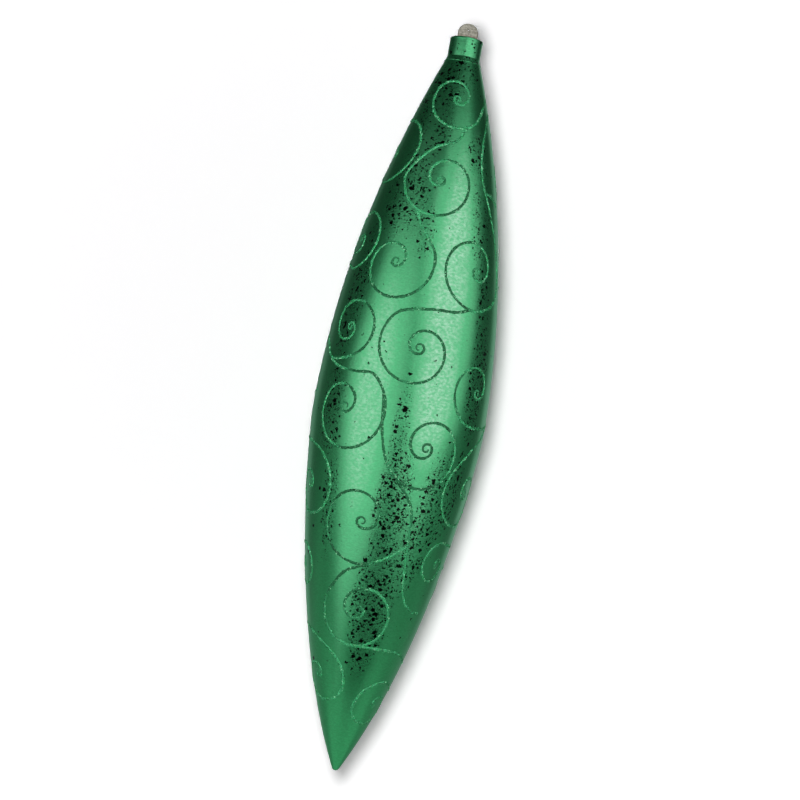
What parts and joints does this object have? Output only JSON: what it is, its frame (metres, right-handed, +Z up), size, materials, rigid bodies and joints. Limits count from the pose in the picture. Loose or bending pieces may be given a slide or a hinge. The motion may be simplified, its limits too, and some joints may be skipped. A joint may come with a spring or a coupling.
{
  "type": "finial ornament",
  "caption": "Long hanging finial ornament: a slender mirrored green drop with raised glitter scrolls, a plated collar and a clear hanging tab.",
  "frame": {"origin": "centre of the hanging eye in the tab, where the hook or cord takes hold", "axes": "+Z up along the drop's axis, towards the tab's top; the tab's flat faces look along -Y and +Y, and -Y is the front"},
  "size_m": [0.184, 0.1824, 0.8001],
  "materials": {
    "plated_plastic": "green metallised, satin gloss with dark antique specks",
    "plated_collar": "green metallised, gloss",
    "frosted_tab": "frosted clear, moulded",
    "glitter_glue": "green glitter in clear glue"
  },
  "bodies": {
    "hanger": {"hanger": "frosted_tab"},
    "collar": {"collar": "plated_collar"},
    "drop": {"shell": "plated_plastic", "crown_vine_front": "glitter_glue", "crown_vine_back": "glitter_glue", "trailing_vine_front": "glitter_glue", "trailing_vine_back": "glitter_glue", "belly_vine_front": "glitter_glue", "belly_vine_back": "glitter_glue", "flank_vine_front": "glitter_glue", "flank_vine_back": "glitter_glue", "upper_curl_front": "glitter_glue", "upper_curl_back": "glitter_glue", "shoulder_curl_front": "glitter_glue", "shoulder_curl_back": "glitter_glue", "side_curl_front": "glitter_glue", "side_curl_back": "glitter_glue", "lower_curl_front": "glitter_glue", "lower_curl_back": "glitter_glue", "small_curl_front": "glitter_glue", "small_curl_back": "glitter_glue", "tail_curl_front": "glitter_glue", "tail_curl_back": "glitter_glue", "toe_curl_front": "glitter_glue", "toe_curl_back": "glitter_glue"}
  },
  "joints": [
    {"name": "hanger_swivel", "type": "hinge", "parent": "hanger", "child": "collar", "pos_m": [0, 0, -0.0105], "axis": [0, 0, 1], "continuous": true},
    {"name": "neck_slide", "type": "slide", "parent": "collar", "child": "drop", "axis": [0, 0, 1], "range_m": [-0.03, 0]}
  ]
}
